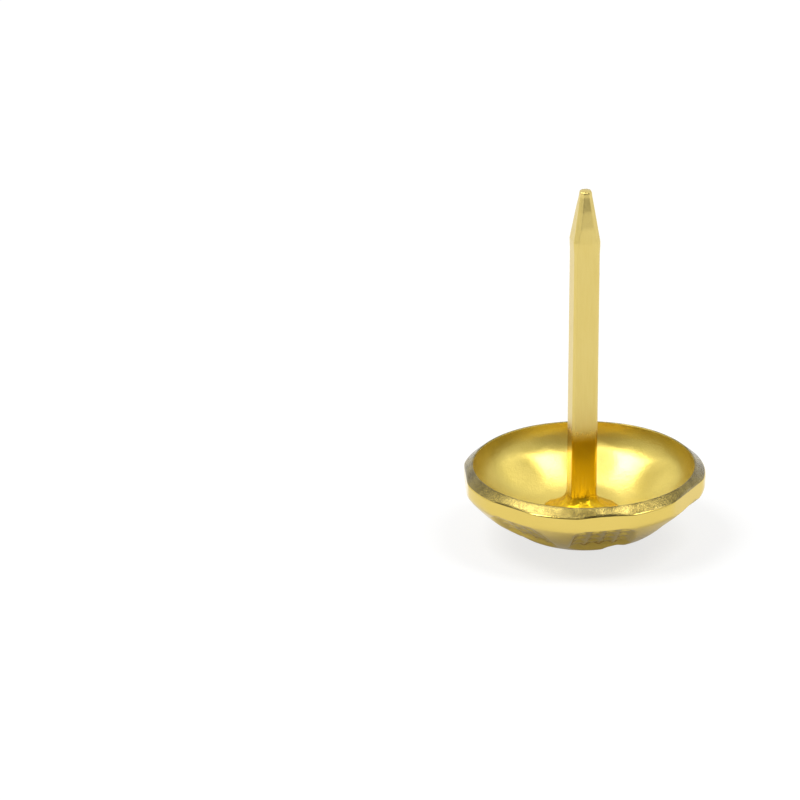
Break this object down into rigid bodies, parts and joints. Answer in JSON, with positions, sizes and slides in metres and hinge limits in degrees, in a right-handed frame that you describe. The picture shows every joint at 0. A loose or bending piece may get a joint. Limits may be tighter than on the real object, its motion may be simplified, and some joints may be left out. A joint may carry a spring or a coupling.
{
  "type": "upholstery tack",
  "caption": "Decorative tack: shallow domed sheet head with hammered waffle dents and a square nail welded inside, pinched to a four-sided point.",
  "frame": {"origin": "lowest point of the crown, on the head's axis", "axes": "+Z from the crown towards the nail's point, -Y towards the front outer dent"},
  "size_m": [0.0109, 0.011, 0.017],
  "materials": {
    "plated_sheet": "polished gold-coloured plating, satin inside the bowl",
    "plated_wire": "satin gold-coloured plating over drawn wire"
  },
  "bodies": {
    "root": {"head": "plated_sheet", "nail": "plated_wire"}
  },
  "joints": []
}
